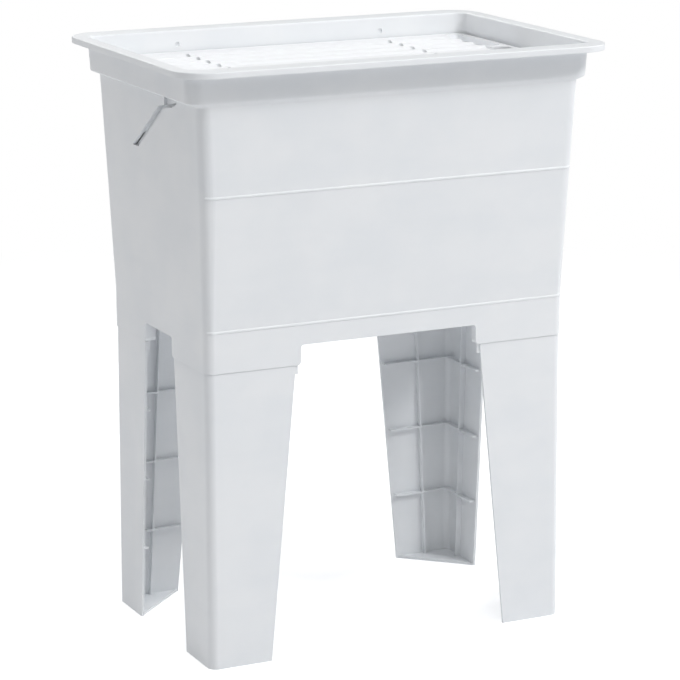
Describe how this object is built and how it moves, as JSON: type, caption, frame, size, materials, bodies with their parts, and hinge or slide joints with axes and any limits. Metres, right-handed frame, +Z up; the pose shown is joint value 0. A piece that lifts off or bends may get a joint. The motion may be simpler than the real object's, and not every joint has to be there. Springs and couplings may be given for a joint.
{
  "type": "utility laundry sink",
  "caption": "Free-standing plastic laundry sink: deep tapered tub on angle legs, with a ribbed washboard with drain slots laid in the rim as a cover, and a strainer waste with plug.",
  "frame": {"origin": "on the floor, below the middle of the tub", "axes": "+X to the right along the long front, +Y to the back, +Z up"},
  "size_m": [0.62, 0.43, 0.8],
  "materials": {
    "tub": "moulded white polypropylene, fine satin grain",
    "washboard": "moulded white polypropylene, satin",
    "leg": "moulded white polypropylene, satin",
    "gasket": "black rubber sheet",
    "strainer": "pressed stainless steel",
    "screw": "turned stainless steel",
    "waste_body": "moulded white polypropylene",
    "plug": "moulded black rubber"
  },
  "bodies": {
    "stand": {"tub": "tub", "leg_front_left": "leg", "leg_front_right": "leg", "leg_back_left": "leg", "leg_back_right": "leg", "upper_gasket": "gasket", "lower_gasket": "gasket", "waste_strainer": "strainer", "strainer_screw": "screw", "waste_body": "waste_body"},
    "cover": {"washboard": "washboard"},
    "stopper": {"plug": "plug"}
  },
  "joints": [
    {"name": "washboard_lift", "type": "slide", "parent": "stand", "child": "cover", "axis": [0, 0, 1], "range_m": [0, 0.12]},
    {"name": "plug_lift", "type": "slide", "parent": "stand", "child": "stopper", "axis": [0, 0, 1], "range_m": [0, 0.15]}
  ]
}
